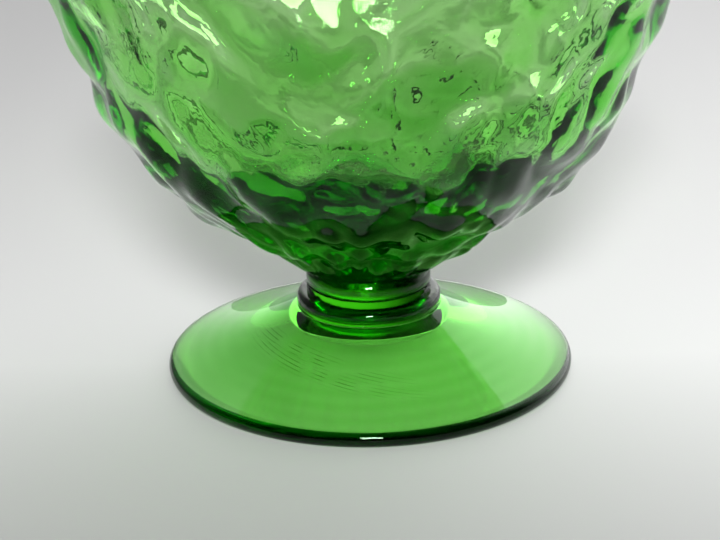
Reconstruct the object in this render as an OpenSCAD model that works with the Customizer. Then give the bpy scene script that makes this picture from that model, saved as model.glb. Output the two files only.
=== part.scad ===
// Footed candy dish in green glass: a crinkled bowl on a short round stem and a
// smooth spun foot. The four pieces are separate gathers of glass that are fused
// face to face, from the foot up: foot, collar, post, bowl.
// Millimetres, +Z up, origin on the table under the middle of the foot.

/* [Foot] */
// Diameter of the foot
foot_d = 95; // [80:1:120]
// Thickness of the foot at its rounded edge
foot_edge_t = 3.6; // [2.6:0.1:5]
// Height of the foot where the collar is fused on
foot_h = 15; // [12:0.5:20]
// How far the top and underside of the foot dip below a straight cone
foot_sweep = 1; // [0.4:0.1:2]
// Width of the flat ring that the foot stands on
foot_land_w = 3; // [2:0.5:8]
// Thickness of the foot under the collar
foot_middle_t = 3.9; // [3.4:0.1:7]

/* [Stem] */
// Widest diameter of the collar, just above the foot
collar_d = 33.6; // [31:0.2:40]
// Height of the collar
collar_h = 3.4; // [2.6:0.2:8]
// Radius of the collar's rounded shoulder
collar_round = 1.6; // [0.8:0.1:2.4]
// Diameter of the post between the collar and the bowl
post_d = 29; // [24:0.5:30]
// Height of the post
post_h = 6.6; // [4:0.2:12]

/* [Bowl] */
// Diameter of the mouth over the lip
rim_d = 150; // [130:1:180]
// Height of the bowl from the post to the lip
bowl_h = 91; // [75:1:110]
// Radius of the round bottom of the bowl
belly_r = 63; // [52:0.5:66]
// Height of the heel that joins the round bottom to the post
heel_h = 4; // [2:0.5:8]
// Radius where the heel runs into the round bottom
heel_r = 27; // [22:0.5:32]
// How far the heel swells out from a straight cone
heel_swell = 0.6; // [0:0.1:1.5]
// Overhang of the bowl's seat past the post
seat_overhang = 1.4; // [0.2:0.1:2]
// Thickness of the wall at the side of the round bottom
wall_t = 3; // [2.6:0.1:6]
// Thickness of the glass under the middle of the hollow
bottom_t = 17; // [10:0.5:20]
// Radius of the hollow's shallow floor
floor_r = 92; // [75:1:160]
// Thickness of the fire-polished lip
lip_t = 3.4; // [2.8:0.1:5]

/* [Crinkle] */
// Typical height of the relief above and below the smooth bowl
crinkle_depth = 0.6; // [0.1:0.02:0.8]
// Length of the shortest crinkle
crinkle_short = 14; // [12:0.5:18]
// Length of the longest crinkle
crinkle_long = 30; // [20:0.5:40]
// Sideways wander of the crinkle lines
crinkle_wander = 6; // [0:0.5:8]
// Plain band left under the lip
plain_band = 7; // [4:0.5:15]

/* [Hidden] */
$fn = 96;

glass_green = [0.20, 0.62, 0.16, 0.75];

// Levels of the fused faces, from the table up
collar_z = foot_h;
post_z = collar_z + collar_h;
seat_z = post_z + post_h;
rim_z = seat_z + bowl_h;

// Section of the foot
foot_r = foot_d / 2;
edge_r = foot_edge_t / 2;
collar_r = collar_d / 2;
land_r = foot_r - edge_r;

// Section of the bowl: a round bottom and a lip bead, with a straight wall tangent to both
seat_r = post_d / 2 + seat_overhang;
lip_r = lip_t / 2;
lip_flat = 0.06 * lip_r;
lip_bead = 0.05 * lip_r;
lip_c = [rim_d / 2 - lip_r, rim_z - lip_r + lip_flat];
belly_z = seat_z + heel_h + belly_r;
hollow_r = belly_r - wall_t;
floor_z = seat_z + bottom_t;
wall_blend = 0.15;

// Lean of a straight wall that touches the lip bead and a round bottom centred at centre_z,
// where reach is the distance from that centre to the wall's parallel through the lip's centre
function wall_lean(centre_z, reach) =
    let (to_lip = lip_c - [0, centre_z])
    atan2(to_lip[1], to_lip[0]) - acos(reach / norm(to_lip));

outer_lean = wall_lean(belly_z, belly_r - lip_r);
inner_lean = wall_lean(belly_z, hollow_r - wall_blend + lip_r - lip_bead);

function polar(r, angle) = r * [cos(angle), sin(angle)];
function fraction(x) = x - floor(x);
function smooth(t) = let (c = max(0, min(1, t))) c * c * (3 - 2 * c);

// Crinkle relief: long waves that run in many directions over the bowl and wander as they go
crinkle_waves = 10;
golden_turn = 137.508;
wander_length = 2.2 * crinkle_long;
wander_shift = 68.75;

function wave_dir(i) =
    let (up = 1 - (2 * i + 1) / crinkle_waves, across = sqrt(1 - up * up))
    [across * cos(i * golden_turn), across * sin(i * golden_turn), up];
function wave_length(i) = crinkle_short + (crinkle_long - crinkle_short) * fraction(0.618 * i);
function wave_phase(i) = 360 * fraction(0.755 * i);
function wander(p) =
    crinkle_wander * [for (k = [0:2]) sin(360 * p[(k + 1) % 3] / wander_length + wander_shift * k)];
function relief(p) =
    let (q = p + wander(p),
         waves = [for (i = [0:crinkle_waves - 1])
             sin(360 * (wave_dir(i) * q) / wave_length(i) + wave_phase(i))])
    crinkle_depth * (waves * [for (w = waves) 1]) / sqrt(crinkle_waves / 2);

// Outer section as rings: [radius, height, direction of the relief, share of the relief]
heel_rings = 5;
belly_rings = 18;
wall_rings = 12;
lip_rings = 4;
around = 108;

heel_angle = -acos(heel_r / belly_r);
belly_start = [0, belly_z] + polar(belly_r, heel_angle);
belly_end = [0, belly_z] + polar(belly_r, outer_lean);
wall_end = lip_c + polar(lip_r, outer_lean);
seat_edge = [seat_r, seat_z];
heel_side = belly_start - seat_edge;
heel_bend = (belly_start + seat_edge) / 2 + 2 * heel_swell * [heel_side[1], -heel_side[0]] / norm(heel_side);

function bend(a, b, c, t) = (1 - t) * (1 - t) * a + 2 * t * (1 - t) * b + t * t * c;
function heel_ring(t) = [bend(seat_edge, heel_bend, belly_start, t), heel_angle, smooth(t)];
function belly_ring(t) =
    let (a = heel_angle + t * (outer_lean - heel_angle))
    [[0, belly_z] + polar(belly_r, a), a, 1];
function wall_ring(t) =
    let (left = (1 - t) * norm(wall_end - belly_end))
    [belly_end + t * (wall_end - belly_end), outer_lean, smooth(left / plain_band - 0.4)];
function lip_ring(t) =
    let (a = outer_lean + t * (asin(1 - lip_flat / lip_r) - outer_lean))
    [lip_c + polar(lip_r, a), a, 0];

outer_rings = concat(
    [for (k = [0:heel_rings - 1]) heel_ring(k / heel_rings)],
    [for (k = [0:belly_rings - 1]) belly_ring(k / belly_rings)],
    [for (k = [0:wall_rings - 1]) wall_ring(k / wall_rings)],
    [for (k = [0:lip_rings]) lip_ring(k / lip_rings)]);

function ring_point(ring, angle) =
    let (flat = ring[0], lean = ring[1],
         base = [flat[0] * cos(angle), flat[0] * sin(angle), flat[1]],
         out = [cos(lean) * cos(angle), cos(lean) * sin(angle), sin(lean)])
    ring[2] == 0 ? base : base + ring[2] * relief(base) * out;

// Disc that leaves an arc between two points, dipping below the straight line by a sag
module sweep_disc(start, end, sag) {
    chord = norm(end - start);
    radius = (chord * chord / 4 + sag * sag) / (2 * sag);
    up = [end[1] - start[1], start[0] - end[0]] / -chord;
    translate((start + end) / 2 + up * (radius - sag)) circle(r = radius, $fn = 360);
}

// Foot: a spun shell with a rounded edge, much the same thickness all over
module foot_section() {
    under_h = foot_h - foot_middle_t;
    difference() {
        square([land_r, foot_h]);
        sweep_disc([collar_r, foot_h], [land_r, foot_edge_t], foot_sweep);
        difference() {
            translate([0, -foot_edge_t]) square([land_r, foot_edge_t + under_h]);
            sweep_disc([collar_r, under_h], [land_r - foot_land_w, 0], foot_sweep);
        }
    }
    translate([land_r, edge_r]) circle(r = edge_r);
}

module foot() {
    color(glass_green) rotate_extrude() foot_section();
}

// Collar: the wafer of glass between the foot and the post
module stem_collar() {
    color(glass_green) translate([0, 0, collar_z]) rotate_extrude() union() {
        square([collar_r - collar_round, collar_h]);
        square([collar_r, collar_h - collar_round]);
        translate([collar_r - collar_round, collar_h - collar_round]) circle(r = collar_round);
    }
}

// Post: the short solid stem under the bowl
module stem_post() {
    color(glass_green) translate([0, 0, post_z]) cylinder(d = post_d, h = post_h);
}

// Body of the bowl before it is hollowed out
module crinkled_body() {
    last = len(outer_rings) - 1;
    points = [for (ring = outer_rings, i = [0:around - 1]) ring_point(ring, 360 * i / around)];
    sides = [for (k = [0:last - 1], i = [0:around - 1])
        let (j = (i + 1) % around, a = k * around + i, b = k * around + j)
        each [[a, a + around, b], [b, a + around, b + around]]];
    seat = [for (i = [0:around - 1]) i];
    top = [for (i = [around - 1:-1:0]) last * around + i];
    polyhedron(points = points, faces = concat(sides, [seat, top]), convexity = 6);
}

// Hollow of the bowl: a shallow floor, a round side, a straight wall and the inner half of the lip
module hollow_section() {
    wall_start = [0, belly_z] + polar(hollow_r - wall_blend, inner_lean);
    wall_top = lip_c - polar(lip_r - lip_bead, inner_lean);
    intersection() {
        translate([0, belly_z]) circle(r = hollow_r, $fn = 180);
        translate([0, floor_z + floor_r]) circle(r = floor_r, $fn = 240);
        translate([0, belly_z - rim_d]) square([rim_d, 2 * rim_d]);
    }
    difference() {
        polygon([[0, belly_z], wall_start, wall_top, lip_c, lip_c + [0, lip_t], [0, lip_c[1] + lip_t]]);
        translate(lip_c) circle(r = lip_r);
    }
}

module bowl() {
    color(glass_green) difference() {
        crinkled_body();
        rotate_extrude() hollow_section();
    }
}

foot();
stem_collar();
stem_post();
bowl();
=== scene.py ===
"""A footed candy dish in green glass: a crinkled bowl on a short stem and a smooth spun foot."""
from math import acos, asin, atan2, cos, hypot, pi, radians, sin, sqrt

import bmesh
import bpy
import numpy as np
from mathutils import Matrix, Vector, noise


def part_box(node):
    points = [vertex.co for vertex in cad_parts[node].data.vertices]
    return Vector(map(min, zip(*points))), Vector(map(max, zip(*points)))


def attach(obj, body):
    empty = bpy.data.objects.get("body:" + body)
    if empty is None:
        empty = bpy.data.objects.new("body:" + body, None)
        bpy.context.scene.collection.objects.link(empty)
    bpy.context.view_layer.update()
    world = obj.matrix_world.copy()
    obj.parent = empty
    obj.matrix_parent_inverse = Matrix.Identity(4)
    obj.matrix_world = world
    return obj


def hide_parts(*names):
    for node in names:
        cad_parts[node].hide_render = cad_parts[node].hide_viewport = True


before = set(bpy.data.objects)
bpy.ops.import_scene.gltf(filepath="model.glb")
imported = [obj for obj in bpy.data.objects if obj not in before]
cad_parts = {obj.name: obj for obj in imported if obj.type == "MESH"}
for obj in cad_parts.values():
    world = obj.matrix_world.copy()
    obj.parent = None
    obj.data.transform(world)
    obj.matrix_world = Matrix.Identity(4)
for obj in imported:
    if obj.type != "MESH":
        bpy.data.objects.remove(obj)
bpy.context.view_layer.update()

MM = 0.001

# Foot
# A smooth disc of green soda-lime glass, spun out while soft into a shallow cone with faint rings. Its edge
# is fire-polished round and darkened with painted shade, its underside is hollow, and it stands on a narrow
# flat ring.
# Wear has left a broken band of fine curved scratches before the stem.
_, foot_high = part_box("foot")
collar_low, collar_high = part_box("stem_collar")
foot_edge_thick = 3.6 * MM
foot_sweep = 1.0 * MM
foot_ring_width = 3.0 * MM
foot_middle_thick = 6.0 * MM
spin_ring_gap = 4.2 * MM
# Painted shade: the edge of the foot is coloured dark green between these radii.
painted_shade_rim_start, painted_shade_rim_full = 46.6 * MM, 47.1 * MM
scratch_centre = Vector((11.3, 6.0, 8.0)) * MM
scratch_r, scratch_band = 37.5 * MM, 2.6 * MM
scratch_gap, scratch_patch = 1.0 * MM, 5.0 * MM
scratch_back, scratch_front = 0.0 * MM, -8.0 * MM
scratch_right, scratch_left = 16.0 * MM, -6.0 * MM
weld = 0.001 * MM


def arc(centre, radius, start, end, steps):
    """Points along an arc in the plane of the section, from one angle to another."""
    turn = (end - start) / steps
    angles = [start + k * turn for k in range(steps + 1)]
    return [Vector((centre[0] + radius * cos(a), 0, centre[1] + radius * sin(a))) for a in angles]


def sagging_arc(start, end, sag, steps):
    """Points along the shallow arc that sags below the chord between two points of the section."""
    start, end = Vector(start), Vector(end)
    chord = end - start
    radius = (chord.length_squared / 4 + sag * sag) / (2 * sag)
    upward = Vector((-chord.y, chord.x)).normalized()
    upward = upward if upward.y > 0 else -upward
    centre = (start + end) / 2 + upward * (radius - sag)
    first = atan2(*(start - centre).yx)
    last = atan2(*(end - centre).yx)
    return arc(centre, radius, first, last, steps)


def turned(name, section, turns, shares=None):
    """A closed solid of revolution from a section that starts and ends on the axis."""
    sectors = 8
    axis = {"cent": (0, 0, 0), "axis": (0, 0, 1)}
    mesh = bmesh.new()
    share_layer = mesh.verts.layers.float.new("crinkle")
    verts = [mesh.verts.new(point) for point in section]
    for vert, share in zip(verts, shares or [0] * len(verts)):
        vert[share_layer] = share
    edges = [mesh.edges.new(pair) for pair in zip(verts, verts[1:])]
    bmesh.ops.spin(mesh, geom=verts + edges, angle=2 * pi / sectors, steps=turns // sectors, **axis)
    bmesh.ops.spin(mesh, geom=mesh.verts[:] + mesh.edges[:] + mesh.faces[:], angle=2 * pi, steps=sectors,
                   use_merge=True, use_duplicate=True, **axis)
    bmesh.ops.remove_doubles(mesh, verts=mesh.verts, dist=weld)
    bmesh.ops.recalc_face_normals(mesh, faces=mesh.faces)
    for face in mesh.faces:
        face.smooth = True
    piece = bpy.data.objects.new(name, bpy.data.meshes.new(name))
    bpy.context.scene.collection.objects.link(piece)
    mesh.to_mesh(piece.data)
    mesh.free()
    return piece


def linear(hex_colour):
    """An sRGB hex value as the linear colour that shaders take."""
    channels = [int(hex_colour[k:k + 2], 16) / 255 for k in (1, 3, 5)]
    return [c / 12.92 if c <= 0.04045 else ((c + 0.055) / 1.055) ** 2.4 for c in channels] + [1]


def add_node(tree, kind, values=None, links=None, **settings):
    """Adds a node with its settings, the values of its sockets and the links into them."""
    new = tree.nodes.new(kind)
    for key, value in settings.items():
        setattr(new, key, value)
    for key, value in (values or {}).items():
        new.inputs[key].default_value = value
    for key, source in (links or {}).items():
        tree.links.new(source, new.inputs[key])
    return new


def ramp(tree, source, start, end, low=0.0, high=1.0, **settings):
    """A value that goes from low to high while its source goes from start to end."""
    limits = {"From Min": start, "From Max": end, "To Min": low, "To Max": high}
    return add_node(tree, "ShaderNodeMapRange", limits, {"Value": source}, **settings).outputs[0]


def times(tree, first, second):
    """The product of two values."""
    return add_node(tree, "ShaderNodeMath", links={0: first, 1: second}, operation="MULTIPLY").outputs[0]


def reach(tree, source):
    """The length of a vector."""
    return add_node(tree, "ShaderNodeVectorMath", links={0: source}, operation="LENGTH").outputs["Value"]


def blend(tree, factor, first, second):
    """A colour that goes from the first, a hex value or a socket, to the second as a factor rises."""
    values, links = {2: linear(second)}, {0: factor}
    if isinstance(first, str):
        values[1] = linear(first)
    else:
        links[1] = first
    return add_node(tree, "ShaderNodeMixRGB", values, links).outputs[0]


def rings(tree, source, gap, distortion, detail_scale):
    """Rings about the Z axis, a gap apart and a little out of true."""
    values = {"Scale": pi / 10 / gap, "Distortion": distortion, "Detail Scale": detail_scale}
    return add_node(tree, "ShaderNodeTexWave", values, {"Vector": source},
                    wave_type="RINGS", rings_direction="Z").outputs["Fac"]


def green_glass(name, colour, density):
    """Soda-lime glass coloured green through its mass: deeper where the glass is thicker."""
    material = bpy.data.materials.new(name)
    material.use_nodes = True
    tree = material.node_tree
    tree.nodes.clear()
    surface = add_node(tree, "ShaderNodeBsdfPrincipled", {
        "Base Color": linear("#FFFFFF"), "Roughness": 0.0, "IOR": 1.52, "Transmission Weight": 1.0,
        "Specular Tint": linear("#90A890")})
    body = add_node(tree, "ShaderNodeVolumeAbsorption", {"Color": linear(colour), "Density": density})
    add_node(tree, "ShaderNodeOutputMaterial",
             links={"Surface": surface.outputs[0], "Volume": body.outputs[0]})
    place = add_node(tree, "ShaderNodeTexCoord").outputs["Object"]
    return material, tree, surface, place


edge_r = foot_edge_thick / 2
edge_c = (foot_high.x - edge_r, edge_r)
under_top = foot_high.z - foot_middle_thick
under = sagging_arc((collar_high.x, under_top), (edge_c[0] - foot_ring_width, 0), foot_sweep, 40)
edge = arc(edge_c, edge_r, -pi / 2, pi / 2, 16)
top = sagging_arc((edge_c[0], foot_edge_thick), (collar_high.x, foot_high.z), foot_sweep, 40)
foot_section = [Vector((0, 0, under_top))] + under + edge + top[1:] + [Vector((0, 0, foot_high.z))]
foot = turned("glass_foot", foot_section, 256)

foot_glass, tree, surface, place = green_glass("green_soda_lime_glass_spun", "#9DF540", 190)
spun = blend(tree, rings(tree, place, spin_ring_gap, 6, 0.12), "#FFFFFF", "#F7FBF5")
# Painted shade: the glass is tinted dark green towards the edge of the foot.
rim_painted_shade = blend(tree, ramp(tree, reach(tree, place), painted_shade_rim_start, painted_shade_rim_full), spun, "#2E5A2E")
shifted = add_node(tree, "ShaderNodeVectorMath", {1: scratch_centre}, {0: place}, operation="SUBTRACT")
aside = shifted.outputs[0]
past = add_node(tree, "ShaderNodeMath", {1: scratch_r}, {0: reach(tree, aside)}, operation="SUBTRACT")
off = add_node(tree, "ShaderNodeMath", links={0: past.outputs[0]}, operation="ABSOLUTE")
axes = add_node(tree, "ShaderNodeSeparateXYZ", links={0: place})
patchy = add_node(tree, "ShaderNodeTexNoise", {"Scale": 1 / scratch_patch, "Detail": 1}, {"Vector": place})
scratches = ramp(tree, rings(tree, aside, scratch_gap, 3, 0.05), 0.9, 1.0)
for limit in (ramp(tree, off.outputs[0], scratch_band, scratch_band / 4),
              ramp(tree, axes.outputs["Y"], scratch_back, scratch_front),
              ramp(tree, axes.outputs["X"], scratch_right, scratch_left),
              ramp(tree, patchy.outputs[0], 0.42, 0.58)):
    scratches = times(tree, scratches, limit)
tree.links.new(blend(tree, scratches, rim_painted_shade, "#2A5A28"), surface.inputs["Base Color"])
foot.data.materials.append(foot_glass)
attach(foot, "root")
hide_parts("foot")

# Stem collar
# A wafer of hot glass pressed between the post and the foot, with a rounded shoulder. It is of the post's
# glass, which has faint chill marks drawn out along the stem.
joint_overlap = 0.15 * MM
collar_round = 1.6 * MM
chill_mark_gap, chill_mark_depth = 2.5 * MM, 0.08 * MM
chill_mark_scale = (1, 1, 0.3)


def bumps(tree, surface, source, gap, painted_front_shade):
    """Fine soft bumps of one spacing and depth over a surface."""
    grain = add_node(tree, "ShaderNodeTexNoise", {"Scale": 1 / gap, "Detail": 2}, {"Vector": source})
    bump = add_node(tree, "ShaderNodeBump", {"Strength": 1.0, "Distance": painted_front_shade}, {"Height": grain.outputs[0]})
    tree.links.new(bump.outputs[0], surface.inputs["Normal"])


shoulder_c = (collar_high.x - collar_round, collar_high.z - collar_round)
shoulder = arc(shoulder_c, collar_round, 0, pi / 2, 10)
collar_foot = collar_low.z - joint_overlap
collar_section = [Vector((0, 0, collar_foot)), Vector((collar_high.x, 0, collar_foot))]
collar_section += shoulder + [Vector((0, 0, collar_high.z))]
collar = turned("stem_wafer", collar_section, 160)
stem_glass, tree, surface, place = green_glass("green_soda_lime_glass_drawn", "#9EE331", 210)
drawn = add_node(tree, "ShaderNodeMapping", {"Scale": chill_mark_scale}, {"Vector": place})
bumps(tree, surface, drawn.outputs[0], chill_mark_gap, chill_mark_depth)
collar.data.materials.append(stem_glass)
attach(collar, "root")
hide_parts("stem_collar")

# Stem post
# A short solid post of clear green glass, drawn down from the bowl and fused to the collar.
# Its ends reach a little into its neighbours, as the hot joints do.
post_low, post_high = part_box("stem_post")
post_foot, post_top = post_low.z - joint_overlap, post_high.z + joint_overlap
post_section = [Vector((0, 0, post_foot)), Vector((post_high.x, 0, post_foot)),
                Vector((post_high.x, 0, post_top)), Vector((0, 0, post_top))]
post = turned("stem_column", post_section, 160)
post.data.materials.append(stem_glass)
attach(post, "root")
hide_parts("stem_post")

# Bowl
# A thick-bottomed bowl blown into a mould that is rough like bark inside, so the outside is crinkled
# all over while the inside stays nearly smooth. The wall thickens downwards and runs into the floor
# in a soft curve. The lip is fire-polished.
bowl_low, bowl_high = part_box("bowl")
belly_r = 63.0 * MM
heel_h = 4.0 * MM
heel_r = 27.0 * MM
heel_swell = 0.6 * MM
heel_steps = 16
seat_overhang = 1.4 * MM
wall_thick = 3.0 * MM
wall_taper = 2.5 * MM
bottom_thick = 17.0 * MM
floor_r = 92.0 * MM
floor_fillet = 12.0 * MM
lip_thick = 3.4 * MM

seat_r = post_high.x + seat_overhang
lip_r = lip_thick / 2
lip_c = Vector((bowl_high.x - lip_r, bowl_high.z - lip_r))
belly_c = Vector((0, bowl_low.z + heel_h + belly_r))
hollow_r = belly_r - wall_thick
hollow_c = belly_c + Vector((0, wall_taper))
floor_c = Vector((0, bowl_low.z + bottom_thick + floor_r))


def wall_lean(centre, radius):
    """Lean of the straight wall that touches both the round bottom and the lip."""
    to_lip = lip_c - centre
    return atan2(to_lip.y, to_lip.x) - acos(radius / to_lip.length)


def line(start, end, steps):
    """Points along a straight line."""
    return [start.lerp(end, k / steps) for k in range(steps + 1)]


def bend(a, b, c, steps):
    """Points along a curve from a to c that is drawn towards b."""
    return [a.lerp(b, k / steps).lerp(b.lerp(c, k / steps), k / steps) for k in range(steps + 1)]


def ease(t):
    """A smooth step from 0 to 1."""
    t = max(0.0, min(1.0, t))
    return t * t * (3 - 2 * t)


outer_lean = wall_lean(belly_c, belly_r - lip_r)
inner_lean = wall_lean(hollow_c, hollow_r + lip_r)
belly = arc(belly_c, belly_r, -acos(heel_r / belly_r), outer_lean, 66)
lip = arc(lip_c, lip_r, outer_lean, pi + inner_lean, 20)
wall = line(belly[-1], lip[0], 50)
seat_edge = Vector((seat_r, 0, bowl_low.z))
heel_side = belly[0] - seat_edge
heel_out = Vector((heel_side.z, 0, -heel_side.x)).normalized()
heel = bend(seat_edge, (belly[0] + seat_edge) / 2 + heel_out * 2 * heel_swell, belly[0], heel_steps)

hollow_power = hollow_r ** 2 - hollow_c.y ** 2
floor_power = floor_r ** 2 - floor_c.y ** 2
corner_z = (hollow_power - floor_power) / (2 * (floor_c.y - hollow_c.y))
side_angle = asin((corner_z - hollow_c.y) / hollow_r)
floor_angle = asin((corner_z - floor_c.y) / floor_r)
corner = Vector((hollow_r * cos(side_angle), 0, corner_z))
side = arc(hollow_c, hollow_r, inner_lean, side_angle + floor_fillet / hollow_r, 16)
floor = arc(floor_c, floor_r, floor_angle - floor_fillet / floor_r, -pi / 2, 24)
hollow = line(lip[-1], side[0], 24) + side[1:] + bend(side[-1], corner, floor[0], 12)[1:] + floor[1:]
bowl_section = [Vector((0, 0, bowl_low.z))] + heel + belly[1:] + wall[1:] + lip[1:] + hollow[1:]

plain_band = 7.0 * MM
plain_share = 0.4
inside_share = -0.1
shares = [0.0] + [ease(k / heel_steps) for k in range(heel_steps + 1)] + [1.0] * (len(belly) - 1)
shares += [ease((lip[0] - p).length / plain_band - plain_share) for p in wall[1:]]
shares += [0.0] * (len(lip) - 1) + [inside_share] * (len(hollow) - 2) + [0.0]
bowl = turned("crinkled_bowl", bowl_section, 400, shares)

crinkle_depth = 0.6 * MM
crinkle_short, crinkle_long = 14 * MM, 30 * MM
crinkle_wander, wander_length = 6.0 * MM, 2.2 * crinkle_long
wander_phases = np.array([0, 1.2, 2.4])
crinkle_waves = 10
golden_turn = radians(137.508)
length_step, phase_step = 0.618, 0.755
ridge_depth, ridge_gap = 1.4 * MM, 8.5 * MM
fine_ridge_depth, fine_ridge_gap = 0.25 * MM, 4.5 * MM
bark_r = 50.0 * MM
bark_stretch = 1.8
low_swell, swell_start, swell_run = 0.8, 0.5, 0.3
crease_round = 0.06
pit_depth, pit_r = 1.8 * MM, 3.6 * MM
mould_pits = np.array([(20.9, -56.6, 73.7), (-40, -50, 89), (41, 46, 70), (-24, 58, 82)]) * MM
skin_gap, skin_depth = 3.5 * MM, 0.07 * MM


def crinkle(points):
    """Height of the mould's coarse relief: long waves that run in many directions and wander."""
    turned_axes = np.roll(points, -1, axis=1) * 2 * pi / wander_length
    bent = points + crinkle_wander * np.sin(turned_axes + wander_phases)
    height = np.zeros(len(points))
    for i in range(crinkle_waves):
        up = 1 - (2 * i + 1) / crinkle_waves
        across = sqrt(1 - up * up)
        way = np.array([across * cos(golden_turn * i), across * sin(golden_turn * i), up])
        length = crinkle_short + (crinkle_long - crinkle_short) * ((length_step * i) % 1)
        height += np.sin(bent @ way * 2 * pi / length + 2 * pi * ((phase_step * i) % 1))
    return crinkle_depth * height / sqrt(crinkle_waves / 2)


def ridge(point):
    """Height of the sharp-edged bark that lies over the coarse relief, drawn out along the wall."""
    out = max(sqrt(point[0] ** 2 + point[1] ** 2), MM)
    along = belly_r * atan2(point[2] - belly_c.y, out)
    grain = Vector((point[0] * bark_r / out, point[1] * bark_r / out, along / bark_stretch))
    swell = 1 + low_swell * ease((-along / belly_r - swell_start) / swell_run)
    coarse = hypot(noise.noise(grain / ridge_gap), crease_round) - crease_round
    return swell * ridge_depth * coarse + fine_ridge_depth * abs(noise.noise(grain / fine_ridge_gap))


count = len(bowl.data.vertices)
points = np.zeros(count * 3)
normals = np.zeros(count * 3)
share = np.zeros(count)
bowl.data.vertices.foreach_get("co", points)
bowl.data.vertex_normals.foreach_get("vector", normals)
bowl.data.attributes["crinkle"].data.foreach_get("value", share)
points, normals = points.reshape(-1, 3), normals.reshape(-1, 3)
height = crinkle(points) + np.array([ridge(p) for p in points])
for centre in mould_pits:
    height -= pit_depth * np.exp(-((points - centre) ** 2).sum(axis=1) / (2 * pit_r ** 2))
relief = share * height
points += normals * relief[:, None]
bowl.data.vertices.foreach_set("co", points.ravel())
bowl.data.update()

bowl_glass, tree, surface, place = green_glass("green_soda_lime_glass_crinkled", "#99EC3C", 195)
bumps(tree, surface, place, skin_gap, skin_depth)
bowl.data.materials.append(bowl_glass)
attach(bowl, "root")
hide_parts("bowl")

# Floor and light
# A sheet of pale paper with painted shade, darker towards the camera and the left, and painted light, white in
# a disc under the foot.
# Soft light comes from behind and from the right, and one softbox stands over the camera.
sheet_r = 12.0
shade_front, shade_back = -120 * MM, 0.0
shade_left, shade_right = -150 * MM, 150 * MM
# Painted light: the paper turns white inside these radii, under the foot.
painted_light_disc_outer_r, painted_light_disc_inner_r = 46.0 * MM, 44.5 * MM
behind_start, behind_full = -0.1, 0.65
dim_level, bright_level = 0.02, 2.5
side_start, side_full, side_low = -0.55, 0.15, 0.1
softbox_size, softbox_watts = 0.2, 14.0
softbox_place, softbox_aim = Vector((0.0, -0.9, 0.59)), Vector((0, 0, 0.07))

paper_sheet = bmesh.new()
bmesh.ops.create_circle(paper_sheet, cap_ends=True, segments=96, radius=sheet_r)
table = bpy.data.objects.new("table_top", bpy.data.meshes.new("table_top"))
bpy.context.scene.collection.objects.link(table)
paper_sheet.to_mesh(table.data)
paper_sheet.free()
paper = bpy.data.materials.new("matt_white_paper")
paper.use_nodes = True
tree = paper.node_tree
place = add_node(tree, "ShaderNodeTexCoord").outputs["Object"]
axes = add_node(tree, "ShaderNodeSeparateXYZ", links={0: place})
# Painted shade: the paper's colour darkens towards the camera and towards the left.
painted_front_shade = blend(tree, ramp(tree, axes.outputs["Y"], shade_front, shade_back), "#A6A6A6", "#E8E8E8")
painted_left_shade = blend(tree, ramp(tree, axes.outputs["X"], shade_left, shade_right), "#E2E2E2", "#FFFFFF")
shade = add_node(tree, "ShaderNodeMixRGB", {0: 1.0}, {1: painted_front_shade, 2: painted_left_shade}, blend_type="MULTIPLY")
# Painted light: a white disc under the foot brightens the paper that is seen through the glass.
painted_light_and_shade = blend(tree, ramp(tree, reach(tree, place), painted_light_disc_outer_r, painted_light_disc_inner_r), shade.outputs[0], "#FFFFFF")
matt = tree.nodes["Principled BSDF"]
matt.inputs["Roughness"].default_value = 0.7
tree.links.new(painted_light_and_shade, matt.inputs["Base Color"])
table.data.materials.append(paper)

world = bpy.data.worlds.new("studio")
bpy.context.scene.world = world
world.use_nodes = True
tree = world.node_tree
tree.nodes.clear()
way = add_node(tree, "ShaderNodeTexCoord").outputs["Generated"]
axes = add_node(tree, "ShaderNodeSeparateXYZ", links={0: way})
behind = ramp(tree, axes.outputs["Y"], behind_start, behind_full, dim_level, bright_level,
              interpolation_type="SMOOTHSTEP")
beside = ramp(tree, axes.outputs["X"], side_start, side_full, side_low, interpolation_type="SMOOTHSTEP")
glow = times(tree, behind, beside)
sky = add_node(tree, "ShaderNodeBackground", {"Color": linear("#F2F2F2")}, {"Strength": glow})
add_node(tree, "ShaderNodeOutputWorld", links={"Surface": sky.outputs[0]})

softbox = bpy.data.lights.new("softbox", "AREA")
softbox.size = softbox_size
softbox.energy = softbox_watts
lamp = bpy.data.objects.new("softbox", softbox)
bpy.context.scene.collection.objects.link(lamp)
lamp.location = softbox_place
lamp.rotation_euler = (softbox_aim - softbox_place).to_track_quat("-Z", "Y").to_euler()

# Camera
# The photograph's view: from the front, a little above the bowl, close to the stem and foot.
# Clear glass needs many bounces, and its highlights need indirect light that isn't clamped.
camera_distance = 358.3 * MM
camera_height_angle = radians(23.90)
camera_pan = radians(0.34)
camera_tilt = radians(20.53)
camera_roll = radians(-1.27)
view = bpy.data.cameras.new("photo_view")
view.sensor_width = 36
view.lens = 75
view.clip_start = 0.01
camera = bpy.data.objects.new("photo_view", view)
bpy.context.scene.collection.objects.link(camera)
turn = (Matrix.Rotation(camera_pan, 3, "Z") @ Matrix.Rotation(pi / 2 - camera_tilt, 3, "X")
        @ Matrix.Rotation(camera_roll, 3, "Z"))
camera.rotation_euler = turn.to_euler()
camera.location = (0, -camera_distance * cos(camera_height_angle), camera_distance * sin(camera_height_angle))

scene = bpy.context.scene
scene.camera = camera
scene.view_settings.view_transform = "Standard"
scene.cycles.use_denoising = True
scene.cycles.max_bounces = 32
scene.cycles.sample_clamp_indirect = 0
scene.cycles.transmission_bounces = 32
scene.cycles.glossy_bounces = 16
scene.cycles.diffuse_bounces = 4
